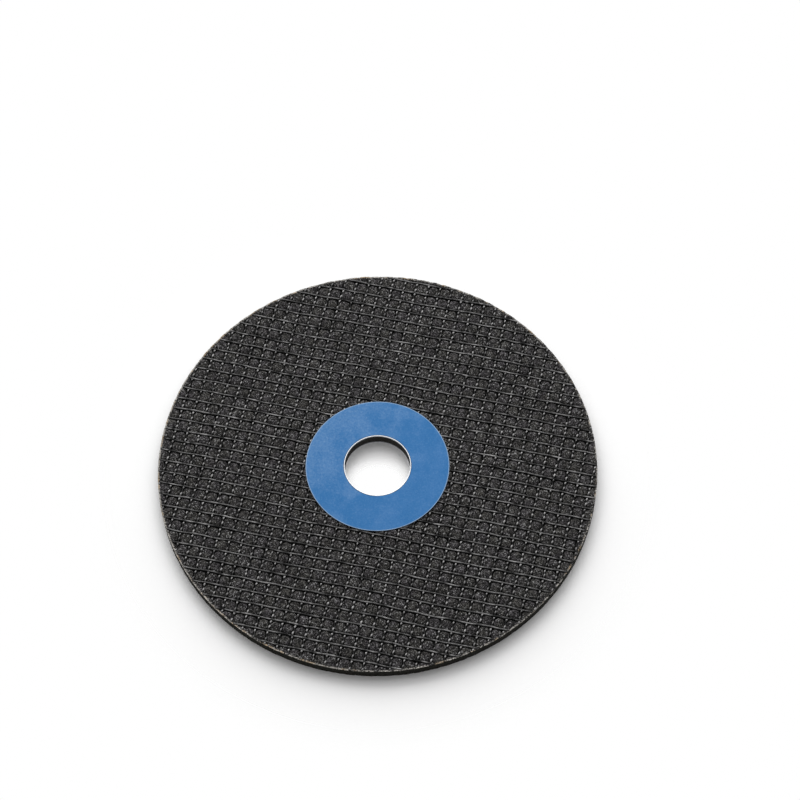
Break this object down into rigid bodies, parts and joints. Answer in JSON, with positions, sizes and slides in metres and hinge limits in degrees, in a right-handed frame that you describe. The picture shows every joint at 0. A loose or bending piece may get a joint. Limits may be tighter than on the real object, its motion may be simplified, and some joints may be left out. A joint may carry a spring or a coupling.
{
  "type": "cut-off wheel",
  "caption": "Flat reinforced cut-off wheel of dark grain and resin, a glass net in each face, a blue paper label and a steel ring in its bore.",
  "frame": {"origin": "centre of the wheel on the plane it lies on, at the crest of the back net", "axes": "+Z along the bore, from the back face to the labelled front face; +X to the right and +Y away from the viewer in the picture's view"},
  "size_m": [0.107, 0.107, 0.0033],
  "materials": {
    "grain": "matte",
    "glass_net": "resin coated",
    "label_paper": "satin",
    "ring_steel": "satin"
  },
  "bodies": {
    "root": {"abrasive_disc": "grain", "front_net": "glass_net", "back_net": "glass_net", "label": "label_paper", "bore_ring": "ring_steel"}
  },
  "joints": []
}
